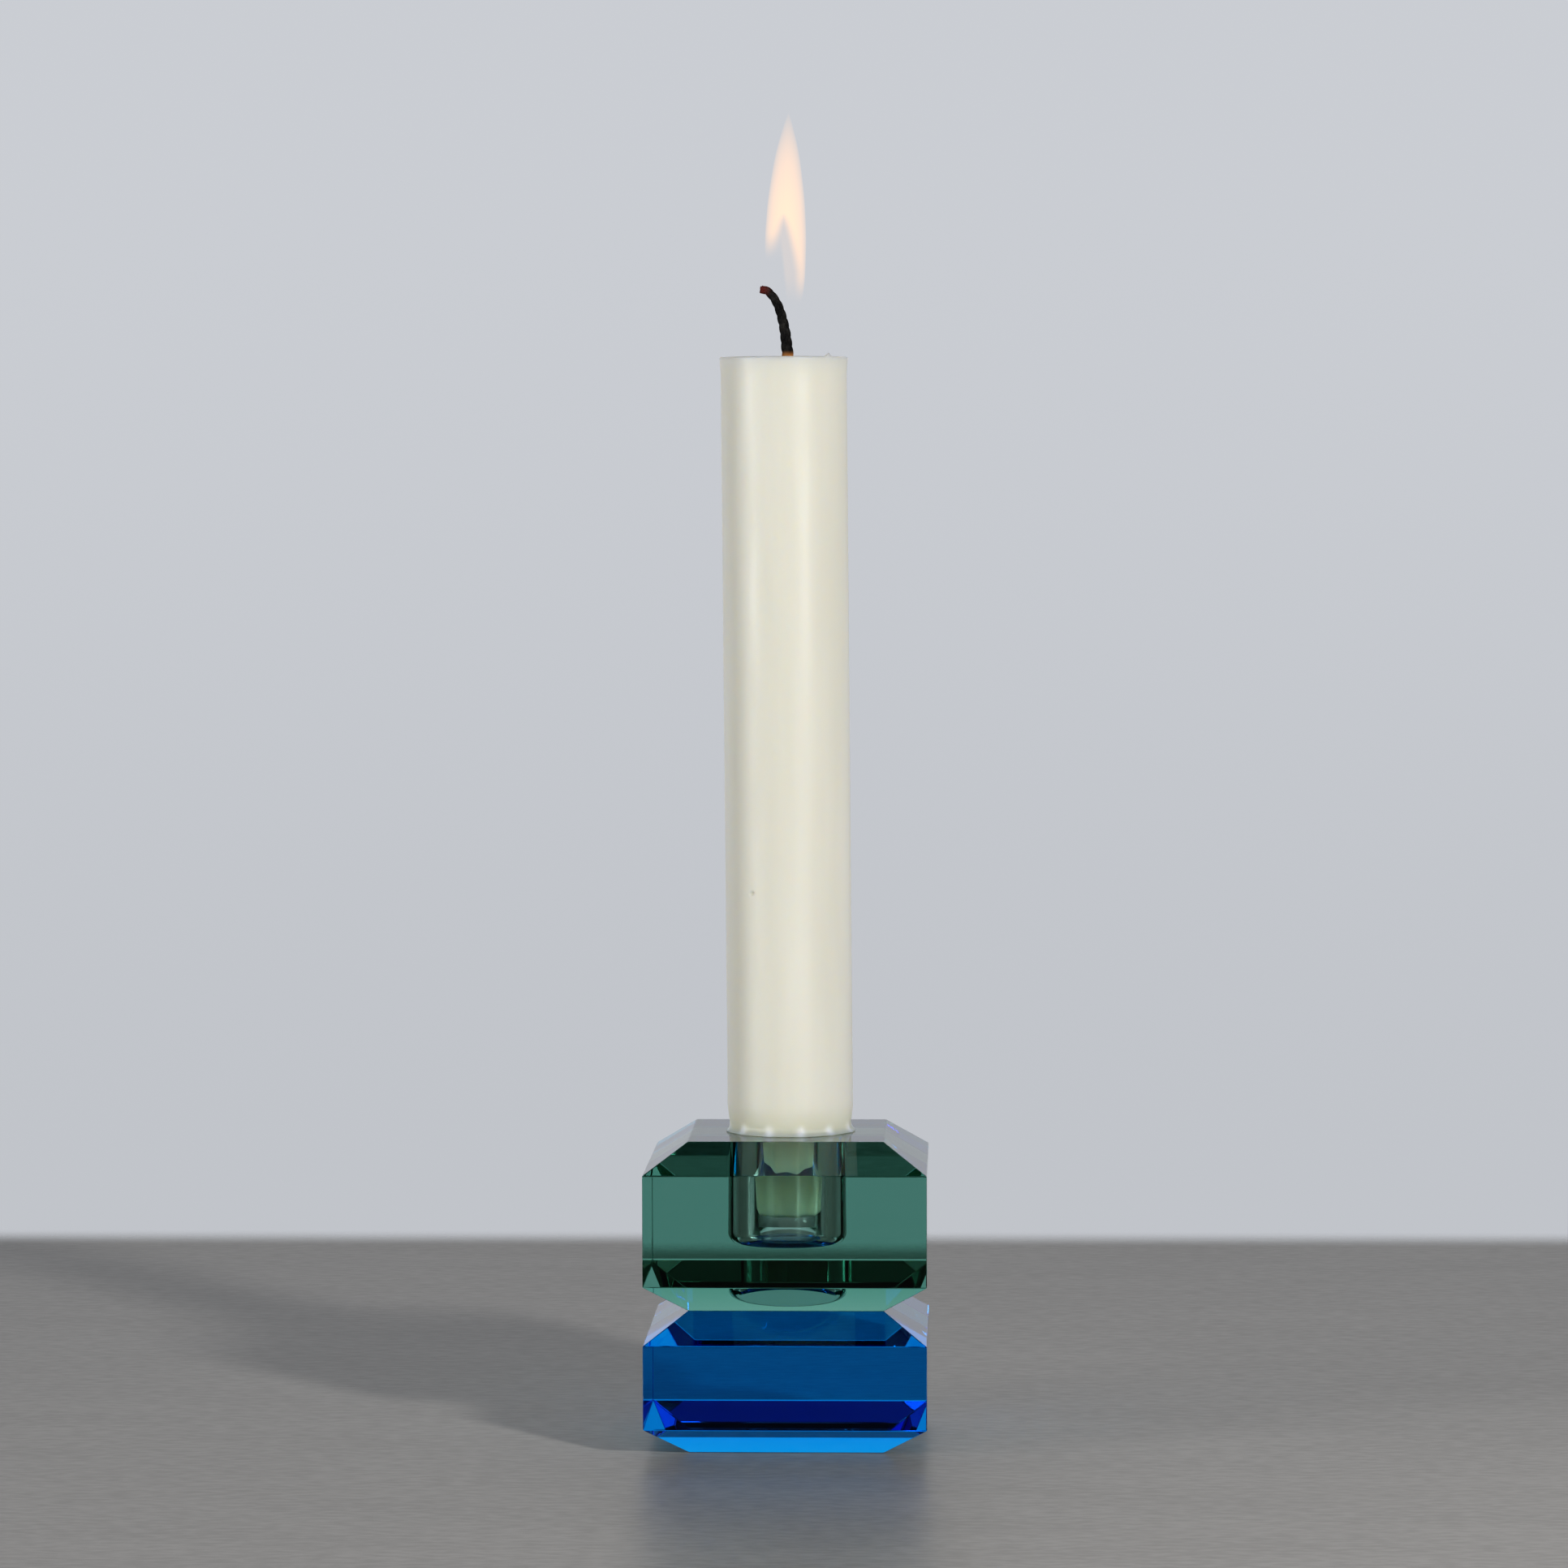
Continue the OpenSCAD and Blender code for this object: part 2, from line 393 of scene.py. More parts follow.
def wax_finish(grain):
    """Ivory wax: translucent and satin, paler on pressed ridges, with painted shade on the foot that
    darkens it towards the lip, wet in the dish.
    """
    material, tree, output = new_material("ivory_wax")
    place = tree.nodes.new("ShaderNodeTexCoord").outputs["Object"]
    height = add_node(tree, "ShaderNodeSeparateXYZ", Vector=place).outputs["Z"]
    marks = place_group(tree, grain, Scale=260.0, Stretch=(1, 1, 0.12))
    pressed = add_node(tree, "ShaderNodeAttribute", {"attribute_name": "pressed"}).outputs["Fac"]
    melted = add_node(tree, "ShaderNodeAttribute", {"attribute_name": "melted"}).outputs["Fac"]
    body = blend_colours(tree, remap(tree, marks["Mottle"], 0.35, 0.7), *SHAFT_WAX)
    low = remap(tree, height, RIM_Z - 2 * MM, RIM_Z + 7 * MM, 1.0, 0.0)
    warmer = blend_colours(tree, product(tree, low, LOW_WAX_SHARE), body, LOW_WAX)
    in_socket = remap(tree, height, RIM_Z - 0.5 * MM, RIM_Z + 0.5 * MM, 1.0, 0.0)
    # Painted shade: the foot's colour darkens from its tip up towards the lip
    foot_shade_rise = remap(tree, height, FOOT_Z, RIM_Z - 6 * MM)
    foot_wax_and_shade = blend_colours(tree, foot_shade_rise, FOOT_TIP_WAX, FOOT_TOP_SHADED_WAX)
    plain = blend_colours(tree, in_socket, warmer, foot_wax_and_shade)
    ridge = product(tree, pressed, sum_up(tree, "SUBTRACT", 1.0, in_socket))
    colour = blend_colours(tree, ridge, plain, RIDGE_WAX)
    dry = remap(tree, marks["Height"], 0.3, 0.7, 0.36, 0.5)
    rough = product(tree, dry, remap(tree, melted, 0.0, 1.0, 1.0, 0.25))
    bump = add_node(tree, "ShaderNodeBump", Strength=0.25, Distance=0.00008, Height=marks["Height"])
    shader = add_node(
        tree, "ShaderNodeBsdfPrincipled",
        Base_Color=colour, Roughness=rough, IOR=WAX_IOR, Normal=bump.outputs[0],
        Subsurface_Radius=(1.0, 0.85, 0.65), Subsurface_Scale=0.005,
    )
    shader.inputs["Subsurface Weight"].default_value = 1.0
    tree.links.new(shader.outputs[0], output.inputs["Surface"])
    return material


def wick_finish(grain, base_z, tip):
    """Charred cotton: black, tan where it is still soaked with wax and orange there from painted glow of
    the flame, and brick red at the tip.
    """
    material, tree, output = new_material("charred_cotton")
    place = tree.nodes.new("ShaderNodeTexCoord").outputs["Object"]
    height = add_node(tree, "ShaderNodeSeparateXYZ", Vector=place).outputs["Z"]
    marks = place_group(tree, grain, Scale=2600.0, Stretch=(1, 1, 0.5))
    char = blend_colours(tree, remap(tree, marks["Mottle"], 0.35, 0.7), *CHAR)
    # Partly painted light: the flame's orange glow on the wick's foot, over its wax-soaked tan
    soaked_and_flame_lit = remap(tree, height, base_z, base_z + 1.3 * MM, 1.0, 0.0)
    tan_and_flame_glow = blend_colours(tree, soaked_and_flame_lit, char, SOAKED_COTTON_AND_FLAME_GLOW)
    away = add_node(tree, "ShaderNodeVectorMath", {"operation": "DISTANCE"})
    tree.links.new(place, away.inputs[0])
    away.inputs[1].default_value = tip
    ember = remap(tree, away.outputs["Value"], 0.6 * MM, 2.2 * MM, 1.0, 0.0)
    colour = blend_colours(tree, ember, tan_and_flame_glow, EMBER)
    bump = add_node(tree, "ShaderNodeBump", Strength=0.6, Distance=0.00006, Height=marks["Height"])
    rough = remap(tree, marks["Height"], 0.3, 0.7, 0.7, 0.95)
    shader = add_node(
        tree, "ShaderNodeBsdfPrincipled", Base_Color=colour, Roughness=rough, Normal=bump.outputs[0],
    )
    tree.links.new(shader.outputs[0], output.inputs["Surface"])
    return material


# ---------------------------------------------------------------- glass blocks

def arc(centre_r, centre_z, radius, start, end, steps):
    """Points (r, z) along an arc, in degrees from the outward direction."""
    angles = [math.radians(start + (end - start) * i / steps) for i in range(steps + 1)]
    return [(centre_r + radius * math.cos(a), centre_z + radius * math.sin(a)) for a in angles]


def socket_outline():
    """The socket's wall from its rounded mouth down to its floor."""
    floor = RIM_Z - SOCKET_DEPTH
    mouth = arc(SOCKET_R + MOUTH_ROUND, RIM_Z - MOUTH_ROUND, MOUTH_ROUND, 90, 180, 4)
    corner = arc(SOCKET_R - SOCKET_ROUND, floor + SOCKET_ROUND, SOCKET_ROUND, 0, -90, 14)
    return mouth + corner


def turned_rings(bm, outline, steps):
    """Rings of points round the axis, one for each (r, z) of an outline."""
    turns = [2 * math.pi * i / steps for i in range(steps)]
    return [[bm.verts.new((r * math.cos(t), r * math.sin(t), z)) for t in turns] for r, z in outline]


def cut_socket(bm, ground):
    """Opens the top flat and lines the opening with the socket, whose floor is marked as ground."""
    top = max(bm.faces, key=lambda f: (round(f.calc_center_median().z, 6), f.calc_area()))
    rim = list(top.edges)
    bmesh.ops.delete(bm, geom=[top], context="FACES_ONLY")
    rings = turned_rings(bm, socket_outline(), ROUND_STEPS)
    for above, below in zip(rings, rings[1:]):
        for i in range(ROUND_STEPS):
            j = (i + 1) % ROUND_STEPS
            bm.faces.new((above[i], above[j], below[j], below[i])).smooth = True
    bm.faces.new(rings[-1])[ground] = 1.0
    mouth = [e for e in bm.edges if e.verts[0] in rings[0] and e.verts[1] in rings[0]]
    bmesh.ops.triangle_fill(bm, edges=rim + mouth, use_beauty=True)


def cut_bevel(bm, x, y, flat_z, drop, up):
    """Cuts the bevel on the side that x and y point to, from the flat at flat_z; up is 1 for a top flat."""
    cut = bmesh.ops.bisect_plane(
        bm, geom=bm.verts[:] + bm.edges[:] + bm.faces[:], dist=1e-7, clear_outer=True,
        plane_co=(x * FLAT_HALF, y * FLAT_HALF, flat_z),
        plane_no=(x * drop, y * drop, up * (HALF - FLAT_HALF)),
    )
    rim = [part for part in cut["geom_cut"] if isinstance(part, bmesh.types.BMEdge)]
    bmesh.ops.contextual_create(bm, geom=rim)


def glass_block(name, low, high, socket=False, back_extra=0.0):
    """A square block with bevels round both flats, fine chamfers on every edge, and a socket if asked.
    Its back lower bevel reaches back_extra further up, which keeps a bright stripe out of the top bevel."""
    bm = bmesh.new()
    arris = bm.faces.layers.float.new("arris")
    ground = bm.faces.layers.float.new("ground")
    middle = Matrix.Translation((0, 0, (low + high) / 2))
    size = Matrix.Diagonal((2 * HALF, 2 * HALF, high - low, 1))
    bmesh.ops.create_cube(bm, size=1.0, matrix=middle @ size)
    for x, y in ((-1, 0), (1, 0), (0, -1), (0, 1)):
        cut_bevel(bm, x, y, high, BEVEL_DROP, 1)
        cut_bevel(bm, x, y, low, BEVEL_DROP + (back_extra if y > 0 else 0.0), -1)
    chamfers = bmesh.ops.bevel(
        bm, geom=list(bm.edges), offset=ARRIS, offset_type="OFFSET", segments=2, profile=0.5,
        affect="EDGES",
    )
    for face in chamfers["faces"]:
        face[arris] = 1.0
    if socket:
        cut_socket(bm, ground)
    bmesh.ops.recalc_face_normals(bm, faces=bm.faces)
    for edge in bm.edges:
        edge.smooth = all(face.smooth for face in edge.link_faces)
    return mesh_from(bm, name)


def glue_bead(material):
    """The line of clear adhesive in the notch between the two flats' edges, all the way round."""
    tree, given, result = new_shaper("bead_round_joint", {
        "Side": ("NodeSocketFloat", 0.03), "Inward": ("NodeSocketFloat", 0.0001),
        "Outward": ("NodeSocketFloat", 0.0001), "Height": ("NodeSocketFloat", 0.0002),
        "Level": ("NodeSocketFloat", 0.0), "Corner": ("NodeSocketFloat", 0.0002),
    })
    path = add_node(
        tree, "GeometryNodeCurvePrimitiveQuadrilateral", Width=given["Side"], Height=given["Side"],
    )
    corners = add_node(
        tree, "GeometryNodeFilletCurve", {"mode": "POLY"}, Curve=path.outputs[0], Radius=given["Corner"],
    )
    section = add_node(
        tree, "GeometryNodeCurvePrimitiveQuadrilateral", {"mode": "KITE"},
        Width=given["Height"], Bottom_Height=given["Inward"], Top_Height=given["Outward"],
    )
    swept = add_node(
        tree, "GeometryNodeCurveToMesh", Curve=corners.outputs[0], Profile_Curve=section.outputs[0],
        Fill_Caps=True,
    )
    lift = add_node(tree, "ShaderNodeCombineXYZ", Z=given["Level"])
    raised = add_node(tree, "GeometryNodeSetPosition", Geometry=swept.outputs[0], Offset=lift.outputs[0])
    finish_shaper(tree, result, raised.outputs[0], material)
    bead = mesh_object("glue_bead", bpy.data.meshes.new("glue_bead"))
    return shape_up(
        bead, tree, Side=2 * FLAT_HALF, Inward=0.12 * MM, Outward=0.04 * MM, Height=0.2 * MM, Level=JOINT_Z,
        Corner=0.25 * MM,
    )


# ---------------------------------------------------------------- candle

def lathe(name, outline, steps):
    """A closed turned shape from an outline of (r, z) that starts and ends on the axis."""
    bm = bmesh.new()
    first, last = (bm.verts.new((0, 0, outline[i][1])) for i in (0, -1))
    rings = turned_rings(bm, outline[1:-1], steps)
    for i in range(steps):
        j = (i + 1) % steps
        bm.faces.new((first, rings[0][j], rings[0][i]))
        for below, above in zip(rings, rings[1:]):
            bm.faces.new((below[i], below[j], above[j], above[i]))
        bm.faces.new((last, rings[-1][i], rings[-1][j]))
    for face in bm.faces:
        face.smooth = True
    bmesh.ops.recalc_face_normals(bm, faces=bm.faces)
    return mesh_from(bm, name)


def spread(start, end, steps):
    """Points along a straight stretch of an outline, without its first one."""
    return [tuple(a + (b - a) * i / steps for a, b in zip(start, end)) for i in range(1, steps + 1)]


def wax_outline():
    """The candle's side view: from under its foot, over the pressed lip, up the shaft and into the dish."""
    foot = [(0, FOOT_Z)] + spread((0, FOOT_Z), (FOOT_TIP_R - FOOT_ROUND, FOOT_Z), 6)
    foot += arc(FOOT_TIP_R - FOOT_ROUND, FOOT_Z + FOOT_ROUND, FOOT_ROUND, -90, 0, 7)[1:]
    foot += spread(foot[-1], (FOOT_TOP_R, RIM_Z - 0.1 * MM), 24)
    lip = [
        (FOOT_TOP_R + 0.3 * MM, RIM_Z + 0.07 * MM), (LIP_R - 0.25 * MM, RIM_Z + 0.06 * MM),
        (LIP_R, RIM_Z + 0.14 * MM), (LIP_R - 0.06 * MM, RIM_Z + 0.24 * MM),
        (LIP_R - 0.3 * MM, RIM_Z + 0.45 * MM), (WAIST_R + 0.05 * MM, RIM_Z + 0.85 * MM),
        (WAIST_R, RIM_Z + 1.5 * MM),
    ]
    shoulder = [
        (
            WAIST_R + (SHAFT_R - WAIST_R) * (1 - math.cos(math.pi * i / 8)) / 2,
            RIM_Z + (1.5 + 3.5 * i / 8) * MM,
        )
        for i in range(1, 9)
    ]
    below_pit = spread(shoulder[-1], (SHAFT_R, PIT.z - PIT_ZONE), 22)
    past_pit = spread(below_pit[-1], (SHAFT_R, PIT.z + PIT_ZONE), 14)
    shaft = spread(past_pit[-1], (SHAFT_R, TOP_Z - 3 * MM), 46)
    edge = spread(shaft[-1], (SHAFT_R + TOP_FLARE, TOP_Z - 0.35 * MM), 6)
    edge += [
        (SHAFT_R + TOP_FLARE - 0.03 * MM, TOP_Z - 0.12 * MM), (SHAFT_R + TOP_FLARE - 0.2 * MM, TOP_Z),
        (SHAFT_R - 0.35 * MM, TOP_Z - 0.05 * MM),
    ]
    dish = [
        (DISH_R * share, TOP_Z - DISH_EDGE - (DISH_DEPTH - DISH_EDGE) * (1 - share ** 3))
        for share in (1 - i / DISH_ROWS for i in range(DISH_ROWS + 1))
    ]
    return foot + lip + shoulder + below_pit + past_pit + shaft + edge + dish


def flute_shaper(material):
    """Presses the flutes into a turned candle, marks pressed and melted wax, and makes it lean."""
    tree, given, result = new_shaper("fluted_candle", {
        "Ribs": ("NodeSocketFloat", 12.0), "Turn": ("NodeSocketFloat", 0.0),
        "Flute Depth": ("NodeSocketFloat", 0.001), "Rim Height": ("NodeSocketFloat", 0.0),
        "Top Height": ("NodeSocketFloat", 0.1), "Dish Radius": ("NodeSocketFloat", 0.01),
        "Sit": ("NodeSocketFloat", 0.0), "Lean": ("NodeSocketFloat", 0.0),
    })
    spot = tree.nodes.new("GeometryNodeInputPosition").outputs[0]
    place = add_node(tree, "ShaderNodeSeparateXYZ", Vector=spot).outputs
    level = sum_up(tree, "SUBTRACT", place["Z"], given["Rim Height"])
    bearing = sum_up(tree, "ADD", sum_up(tree, "ARCTAN2", place["Y"], place["X"]), given["Turn"])
    turn = product(tree, bearing, given["Ribs"])
    valley = sum_up(tree, "MULTIPLY_ADD", sum_up(tree, "COSINE", turn), 0.5, 0.5)
    flat = add_node(tree, "ShaderNodeCombineXYZ", X=place["X"], Y=place["Y"]).outputs[0]
    away = add_node(tree, "ShaderNodeVectorMath", {"operation": "LENGTH"}, Vector=flat).outputs["Value"]
    chatter = sum_up(tree, "SUBTRACT", noise_value(tree, spot, 220.0, 2.0), 0.5)

    in_socket = remap(tree, level, 0.02 * MM, -0.35 * MM)
    over_lip = remap(tree, level, 0.25 * MM, 0.6 * MM)
    below_shaft = remap(tree, level, 2.4 * MM, 0.7 * MM)
    scallops = product(tree, product(tree, over_lip, below_shaft), SCALLOP)
    reach = product(tree, sum_up(tree, "ADD", in_socket, scallops), remap(tree, away, 3 * MM, 8 * MM))
    hollow = product(tree, sum_up(tree, "POWER", valley, 0.6), product(tree, reach, given["Flute Depth"]))
    crest = sum_up(tree, "POWER", sum_up(tree, "SUBTRACT", 1.0, valley), 5.0)
    near_lip = product(
        tree, remap(tree, level, -0.2 * MM, 0.1 * MM), remap(tree, level, 2.3 * MM, 0.5 * MM),
    )
    at_lip = product(tree, remap(tree, level, 0.0, 0.1 * MM), remap(tree, level, 1.2 * MM, 0.2 * MM))
    ragged = product(tree, product(tree, chatter, at_lip), RAGGED)
    swell = sum_up(tree, "SUBTRACT", noise_value(tree, spot, 30.0, 1.0), 0.5)
    uneven = product(tree, swell, UNEVEN)
    bulge = product(tree, product(tree, crest, near_lip), -CREST_BULGE)
    rough_edge = sum_up(tree, "ADD", ragged, product(tree, uneven, over_lip))
    sink = sum_up(tree, "ADD", sum_up(tree, "ADD", hollow, bulge), rough_edge)
    shrink = sum_up(tree, "DIVIDE", sink, sum_up(tree, "MAXIMUM", away, 1 * MM))
    pull = product(tree, shrink, -1.0)
    inward = add_node(tree, "ShaderNodeVectorMath", {"operation": "SCALE"}, Vector=flat, Scale=pull)
    aside = sum_up(tree, "SUBTRACT", given["Sit"], product(tree, level, given["Lean"]))
    shift = add_node(tree, "ShaderNodeCombineXYZ", X=aside).outputs[0]
    move = add_node(tree, "ShaderNodeVectorMath", {"operation": "ADD"})
    tree.links.new(inward.outputs[0], move.inputs[0])
    tree.links.new(shift, move.inputs[1])

    pressed = product(tree, crest, near_lip)
    below_top = sum_up(tree, "SUBTRACT", place["Z"], given["Top Height"])
    well_inside = sum_up(tree, "SUBTRACT", given["Dish Radius"], 0.5 * MM)
    in_dish = remap(tree, away, given["Dish Radius"], well_inside)
    melted = product(tree, remap(tree, below_top, -3 * MM, -2 * MM), in_dish)
    marked = store(tree, given["Geometry"], "pressed", pressed)
    marked = store(tree, marked, "melted", melted)
    moved = add_node(tree, "GeometryNodeSetPosition", Geometry=marked, Offset=move.outputs[0])
    return finish_shaper(tree, result, moved.outputs[0], material)


def dent(piece, centre, radius, push):
    """Pushes a spot of a piece by a vector, fading out over a radius."""
    for vertex in piece.data.vertices:
        near = (vertex.co - centre).length / radius
        if near < 1:
            vertex.co += push * (1 - near * near) ** 2


def make_candle(material):
    """The candle: turned, fluted at its foot, with a pit in its side and a burr on its top edge."""
    candle = lathe("wax_candle", wax_outline(), WAX_STEPS)
    into = Vector((-PIT.x, -PIT.y, 0)).normalized()
    dent(candle, PIT, PIT_R, into * PIT_DEPTH)
    dent(candle, BURR, BURR_R, Vector((0, 0, BURR_HEIGHT)))
    return shape_up(
        candle, flute_shaper(material), Ribs=float(RIBS), Turn=RIB_TURN, Flute_Depth=FLUTE_DEPTH,
        Rim_Height=RIM_Z, Top_Height=TOP_Z, Dish_Radius=DISH_R, Sit=SIT_X, Lean=LEAN,
    )


def wick_route():
    """The wick's middle line: straight up through the leaning wax, then along its curl."""
    def middle(z):
        return WICK_OFF + SIT_X - LEAN * (z - RIM_Z)
    run = TOP_Z - 1 * MM - FOOT_Z
    levels = [FOOT_Z + run * i / INSIDE_ROWS for i in range(INSIDE_ROWS + 1)]
    inside = [Vector((middle(z), 0, z)) for z in levels]
    base = Vector((middle(TOP_Z), 0, TOP_Z))
    return inside + [base + Vector((x, 0, z)) * MM for x, z in CURL]


def plait_shaper(material):
    """Plaits strands along a route; the plait narrows towards the burnt end."""
    tree, given, result = new_shaper("plaited_wick", {
        "Strands": ("NodeSocketInt", 3), "Rings": ("NodeSocketInt", 100),
        "Pitch": ("NodeSocketFloat", 0.005), "Width": ("NodeSocketFloat", 0.002),
        "Strand Radius": ("NodeSocketFloat", 0.0005),
        "Burnt Above": ("NodeSocketFloat", 0.1), "Top": ("NodeSocketFloat", 0.1),
    })
    route = tree.nodes.new("GeometryNodeMeshToCurve")
    tree.links.new(given["Geometry"], route.inputs["Mesh"])
    smooth = add_node(
        tree, "GeometryNodeCurveSplineType", {"spline_type": "CATMULL_ROM"}, Curve=route.outputs[0],
    )
    even = add_node(tree, "GeometryNodeResampleCurve", Curve=smooth.outputs[0], Count=given["Rings"])
    copies = add_node(
        tree, "GeometryNodeDuplicateElements", {"domain": "SPLINE"},
        Geometry=even.outputs[0], Amount=given["Strands"],
    )
    travelled = tree.nodes.new("GeometryNodeSplineParameter").outputs["Length"]
    run = sum_up(tree, "DIVIDE", travelled, given["Pitch"])
    lag = sum_up(tree, "DIVIDE", copies.outputs["Duplicate Index"], given["Strands"])
    turn = product(tree, sum_up(tree, "ADD", run, lag), 2 * math.pi)
    spot = tree.nodes.new("GeometryNodeInputPosition").outputs[0]
    height = add_node(tree, "ShaderNodeSeparateXYZ", Vector=spot).outputs["Z"]
    taper = remap(tree, height, given["Burnt Above"], given["Top"], 1.0, BURNT_SHARE, smooth=False)
    half = sum_up(tree, "SUBTRACT", given["Width"], given["Strand Radius"])
    reach = product(tree, half, taper)
    sway = product(tree, sum_up(tree, "SINE", turn), reach)
    crossing = sum_up(tree, "SINE", product(tree, turn, 2.0))
    weave = product(tree, crossing, product(tree, reach, WEAVE))
    along = tree.nodes.new("GeometryNodeInputTangent").outputs[0]
    side = add_node(tree, "ShaderNodeVectorMath", {"operation": "CROSS_PRODUCT"})
    tree.links.new(along, side.inputs[0])
    side.inputs[1].default_value = (0, 1, 0)
    over = add_node(
        tree, "ShaderNodeVectorMath", {"operation": "SCALE"}, Vector=side.outputs[0], Scale=sway,
    )
    through = add_node(tree, "ShaderNodeCombineXYZ", Y=weave)
    path = add_node(tree, "ShaderNodeVectorMath", {"operation": "ADD"})
    tree.links.new(over.outputs[0], path.inputs[0])
    tree.links.new(through.outputs[0], path.inputs[1])
    laid = add_node(tree, "GeometryNodeSetPosition", Geometry=copies.outputs[0], Offset=path.outputs[0])
    section = add_node(
        tree, "GeometryNodeCurvePrimitiveCircle", Resolution=10, Radius=given["Strand Radius"],
    )
    strands = add_node(
        tree, "GeometryNodeCurveToMesh", Curve=laid.outputs[0], Profile_Curve=section.outputs[0],
        Scale=taper, Fill_Caps=True,
    )
    return finish_shaper(tree, result, strands.outputs[0], material)


def make_wick(material):
    """The plaited wick, from the candle's foot to its charred end."""
    mesh = bpy.data.meshes.new("plaited_wick")
    route = wick_route()
    mesh.from_pydata(route, [(i, i + 1) for i in range(len(route) - 1)], [])
    return shape_up(
        mesh_object("plaited_wick", mesh), plait_shaper(material), Strands=STRANDS, Rings=PLAIT_RINGS,
        Pitch=PLAIT_PITCH, Width=WICK_R, Strand_Radius=STRAND_R, Burnt_Above=TOP_Z, Top=TOP_Z + BURNT_OVER,
    )


def flame_finish():
    """Glow of the flame: thin at its edges, with a clear hollow round the wick."""
    material, tree, output = new_material("candle_flame")
    place = add_node(
        tree, "ShaderNodeSeparateXYZ", Vector=tree.nodes.new("ShaderNodeTexCoord").outputs["Object"],
    ).outputs
    level = sum_up(tree, "SUBTRACT", place["Z"], TOP_Z)
    off_axis = sum_up(tree, "ABSOLUTE", sum_up(tree, "ADD", place["X"], 0.5 * MM))
    arch = sum_up(tree, "POWER", remap(tree, level, 15 * MM, 25.5 * MM, 1.0, 0.0, smooth=False), 0.5)
    hollow_half = sum_up(tree, "MULTIPLY_ADD", arch, 3.5 * MM, -0.8 * MM)
    outside = remap(tree, sum_up(tree, "SUBTRACT", off_axis, hollow_half), -1.1 * MM, 1.1 * MM, 0.14, 1.0)
    right = remap(tree, place["X"], -1.5 * MM, 0.5 * MM)
    burns_from = remap(tree, right, 0.0, 1.0, 17 * MM, 9 * MM)
    burning = remap(tree, sum_up(tree, "SUBTRACT", level, burns_from), 0.0, 6 * MM)
    strength = product(tree, product(tree, outside, burning), FLAME_STRENGTH)
    glow = add_node(tree, "ShaderNodeEmission", Color=FLAME_GLOW, Strength=strength)
    tree.links.new(glow.outputs[0], output.inputs["Volume"])
    return material


def light_flame():
    """The flame over the wick; it is light, so it isn't a part of the object."""
    flame = lathe("flame", [(r * MM, TOP_Z + z * MM) for z, r in smooth_rows(FLAME, 6)], 32)
    for vertex in flame.data.vertices:
        rise = (vertex.co.z - TOP_Z) / FLAME_RISE
        vertex.co.x += (FLAME_START + FLAME_BEND * rise * rise) * MM
    flame.data.materials.append(flame_finish())
    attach(flame, "taper")


def smooth_rows(rows, steps):
    """A smooth curve through a few (a, b) points."""
    points = [rows[0]] + list(rows) + [rows[-1]]
    made = []
    for p0, p1, p2, p3 in zip(points, points[1:], points[2:], points[3:]):
        for i in range(steps):
            t = i / steps
            made.append(tuple(
                0.5 * (
                    2 * b + (c - a) * t + (2 * a - 5 * b + 4 * c - d) * t * t
                    + (3 * b - a - 3 * c + d) * t ** 3
                )
                for a, b, c, d in zip(p0, p1, p2, p3)
            ))
    return made + [rows[-1]]


# ---------------------------------------------------------------- scene

def build_floor():
    """A satin grey-beige floor that fades out behind the candlestick, where the wall begins."""
    bm = bmesh.new()
    z = BASE_Z - FLOOR_GAP
    corners = [
        (-FLOOR_SIDE, FLOOR_FRONT), (FLOOR_SIDE, FLOOR_FRONT),
        (FLOOR_SIDE, FLOOR_BACK), (-FLOOR_SIDE, FLOOR_BACK),
    ]
    bm.faces.new([bm.verts.new((x, y, z)) for x, y in corners])
    floor = mesh_from(bm, "floor")
    material, tree, output = new_material("pale_floor")
    place = tree.nodes.new("ShaderNodeTexCoord").outputs["Object"]
    fine = noise_value(tree, place, 700.0, 4.0, (0.35, 1, 1))
    broad = noise_value(tree, place, 60.0, 3.0, (0.3, 1, 1))
    speckle = remap(tree, sum_up(tree, "MULTIPLY_ADD", broad, 0.35, fine), 0.45, 0.9)
    colour = blend_colours(tree, speckle, FLOOR_DARK, FLOOR_LIGHT)
    shader = add_node(
        tree, "ShaderNodeBsdfPrincipled", Base_Color=colour, Roughness=FLOOR_ROUGHNESS, IOR=FLOOR_IOR,
    )
    far = add_node(tree, "ShaderNodeSeparateXYZ", Vector=place).outputs["Y"]
    fade = tree.nodes.new("ShaderNodeMixShader")
    tree.links.new(remap(tree, far, FADE_FROM, FLOOR_BACK), fade.inputs[0])
    tree.links.new(shader.outputs[0], fade.inputs[1])
    see_through = tree.nodes.new("ShaderNodeBsdfTransparent")
    tree.links.new(see_through.outputs[0], fade.inputs[2])
    tree.links.new(fade.outputs[0], output.inputs["Surface"])
    floor.data.materials.append(material)


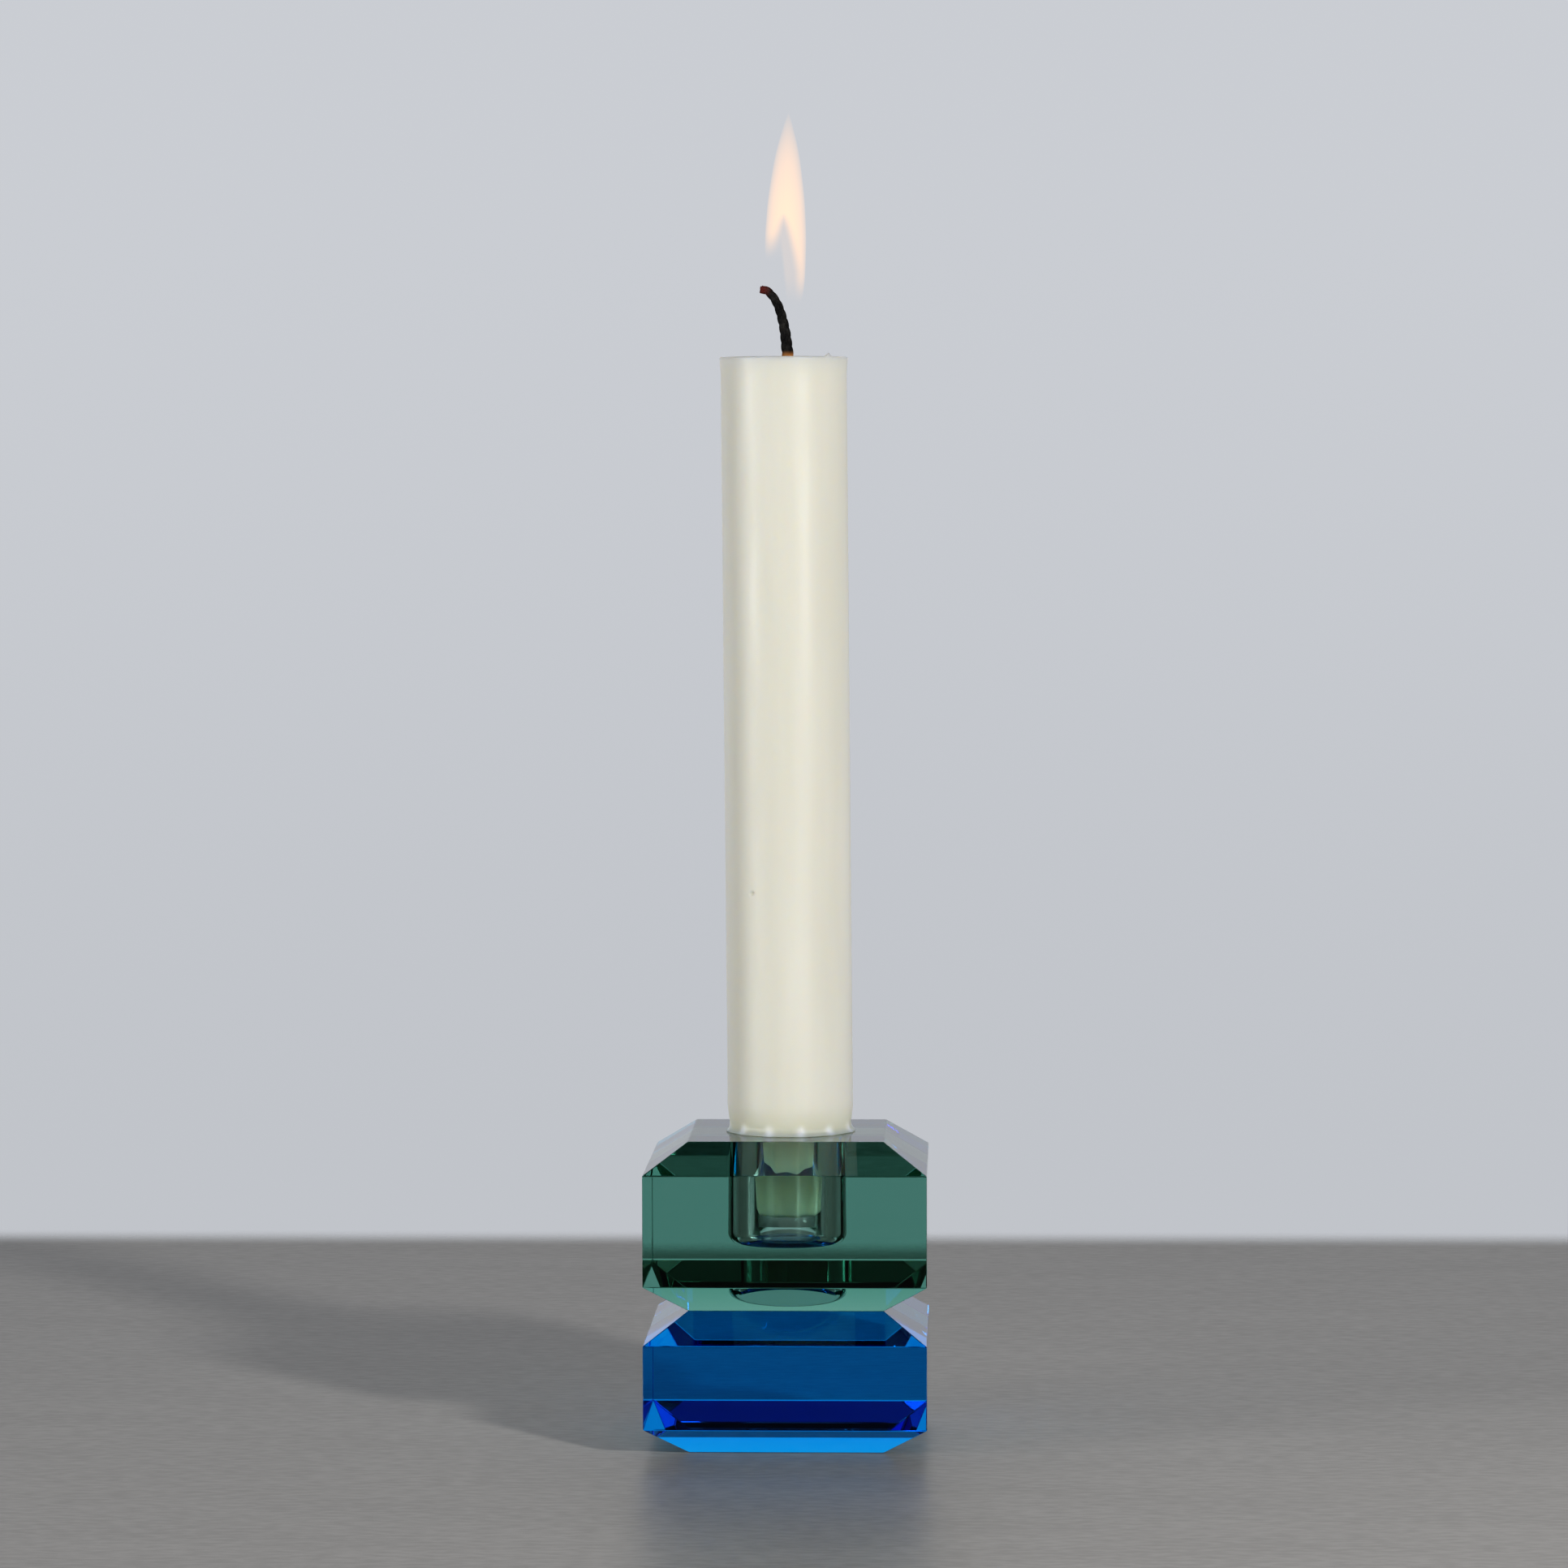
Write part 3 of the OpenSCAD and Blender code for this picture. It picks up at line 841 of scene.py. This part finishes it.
def build_room():
    """The wall behind, brighter high up, with a dark ceiling and a dark room in front."""
    world = bpy.data.worlds.new("studio")
    bpy.context.scene.world = world
    world.use_nodes = True
    tree = world.node_tree
    tree.nodes.clear()
    direction = tree.nodes.new("ShaderNodeTexCoord").outputs["Generated"]
    way = add_node(tree, "ShaderNodeSeparateXYZ", Vector=direction).outputs
    behind = remap(tree, way["Y"], 0.4, 0.75)
    raised = remap(tree, way["Z"], 0.22, 0.45)
    overhead = remap(tree, way["Z"], 0.54, 0.7)
    height = remap(tree, way["Z"], -0.13, 0.06)
    plain = blend_colours(tree, height, (*WALL_FOOT, 1), (*WALL, 1))
    wall = blend_colours(tree, raised, plain, (*WALL_HIGH, 1))
    front_up = remap(tree, way["Z"], 0.05, 0.3)
    front = blend_colours(tree, front_up, (*ROOM_LOW, 1), (*ROOM_HIGH, 1))
    room = blend_colours(tree, behind, front, wall)
    light = blend_colours(tree, overhead, room, (*CEILING, 1))
    glow = add_node(tree, "ShaderNodeBackground", Color=light, Strength=1.0)
    out = tree.nodes.new("ShaderNodeOutputWorld")
    tree.links.new(glow.outputs[0], out.inputs["Surface"])


def soft_light(name, azimuth, elevation, distance, size, power, colour):
    """A round light that faces the candlestick; azimuth 0 is in front of it, and 90 is on its right."""
    lamp = bpy.data.lights.new(name, "AREA")
    lamp.shape, lamp.size, lamp.energy, lamp.color = "DISK", size, power, colour
    holder = bpy.data.objects.new(name, lamp)
    a, e = math.radians(azimuth), math.radians(elevation)
    away = Vector((math.sin(a) * math.cos(e), -math.cos(a) * math.cos(e), math.sin(e)))
    holder.location = LIGHTS_AIM + away * distance
    holder.rotation_mode = "QUATERNION"
    holder.rotation_quaternion = away.to_track_quat("Z", "Y")
    bpy.context.scene.collection.objects.link(holder)


def set_tone():
    """The picture's tone: a plain view whose darks are held down."""
    view = bpy.context.scene.view_settings
    view.view_transform = "Standard"
    view.use_curve_mapping = True
    tone = view.curve_mapping
    tone.extend = "EXTRAPOLATED"
    curve = tone.curves[3]
    for level in TONE_LEVELS:
        curve.points.new(level, level * level / (level + TOE))
    curve.points[-1].location = (1.0, 1.0 / (1.0 + TOE))
    tone.update()


def place_camera():
    """The camera: a metre in front, level with the upper part of the candle, looking a little down."""
    camera = bpy.data.cameras.new("camera")
    camera.lens, camera.sensor_width = LENS, SENSOR
    camera.clip_start, camera.clip_end = 0.01, 50
    holder = bpy.data.objects.new("camera", camera)
    heading, pitch, roll = (math.radians(degrees) for degrees in CAMERA_TURN)
    holder.location = CAMERA_PLACE
    forward = Vector((
        -math.sin(heading) * math.cos(pitch), math.cos(heading) * math.cos(pitch), math.sin(pitch),
    ))
    holder.rotation_mode = "QUATERNION"
    holder.rotation_quaternion = forward.to_track_quat("-Z", "Y") @ Quaternion((0, 0, 1), roll)
    bpy.context.scene.collection.objects.link(holder)
    bpy.context.scene.camera = holder
    cycles = bpy.context.scene.cycles
    cycles.max_bounces, cycles.transmission_bounces = BOUNCES, BOUNCES
    cycles.glossy_bounces = GLOSSY_BOUNCES


build_floor()
build_room()
soft_light(
    "key_light", azimuth=37, elevation=16.5, distance=0.9, size=0.09, power=6.7, colour=(1.0, 0.985, 0.96),
)
soft_light(
    "fill_light", azimuth=-61, elevation=4, distance=1.5, size=0.7, power=15.0, colour=(1.0, 1.0, 0.99),
)
place_camera()
set_tone()
polish, grain = build_polish(), build_grain()
green = glass_finish("green_glass_polished", polish, GREEN_TINT, GREEN_DENSITY)
blue = glass_finish("blue_glass_polished", polish, BLUE_TINT, BLUE_DENSITY)

lower = glass_block("lower_glass", BASE_Z, JOINT_Z + BOND_LAP)
dress(lower, blue, "holder", "blue_glass", "lower_block")
upper = glass_block("upper_glass", JOINT_Z - BOND_LAP, RIM_Z, socket=True, back_extra=BACK_EXTRA)
dress(upper, green, "holder", "green_glass", "upper_block")
adhesive = adhesive_finish()
dress(glue_bead(adhesive), adhesive, "holder", "clear_adhesive", "bond_film")

wax = wax_finish(grain)
dress(make_candle(wax), wax, "taper", "wax", "candle")
cotton = wick_finish(grain, TOP_Z, wick_route()[-1])
dress(make_wick(cotton), cotton, "taper", "wick_cotton", "wick")
light_flame()
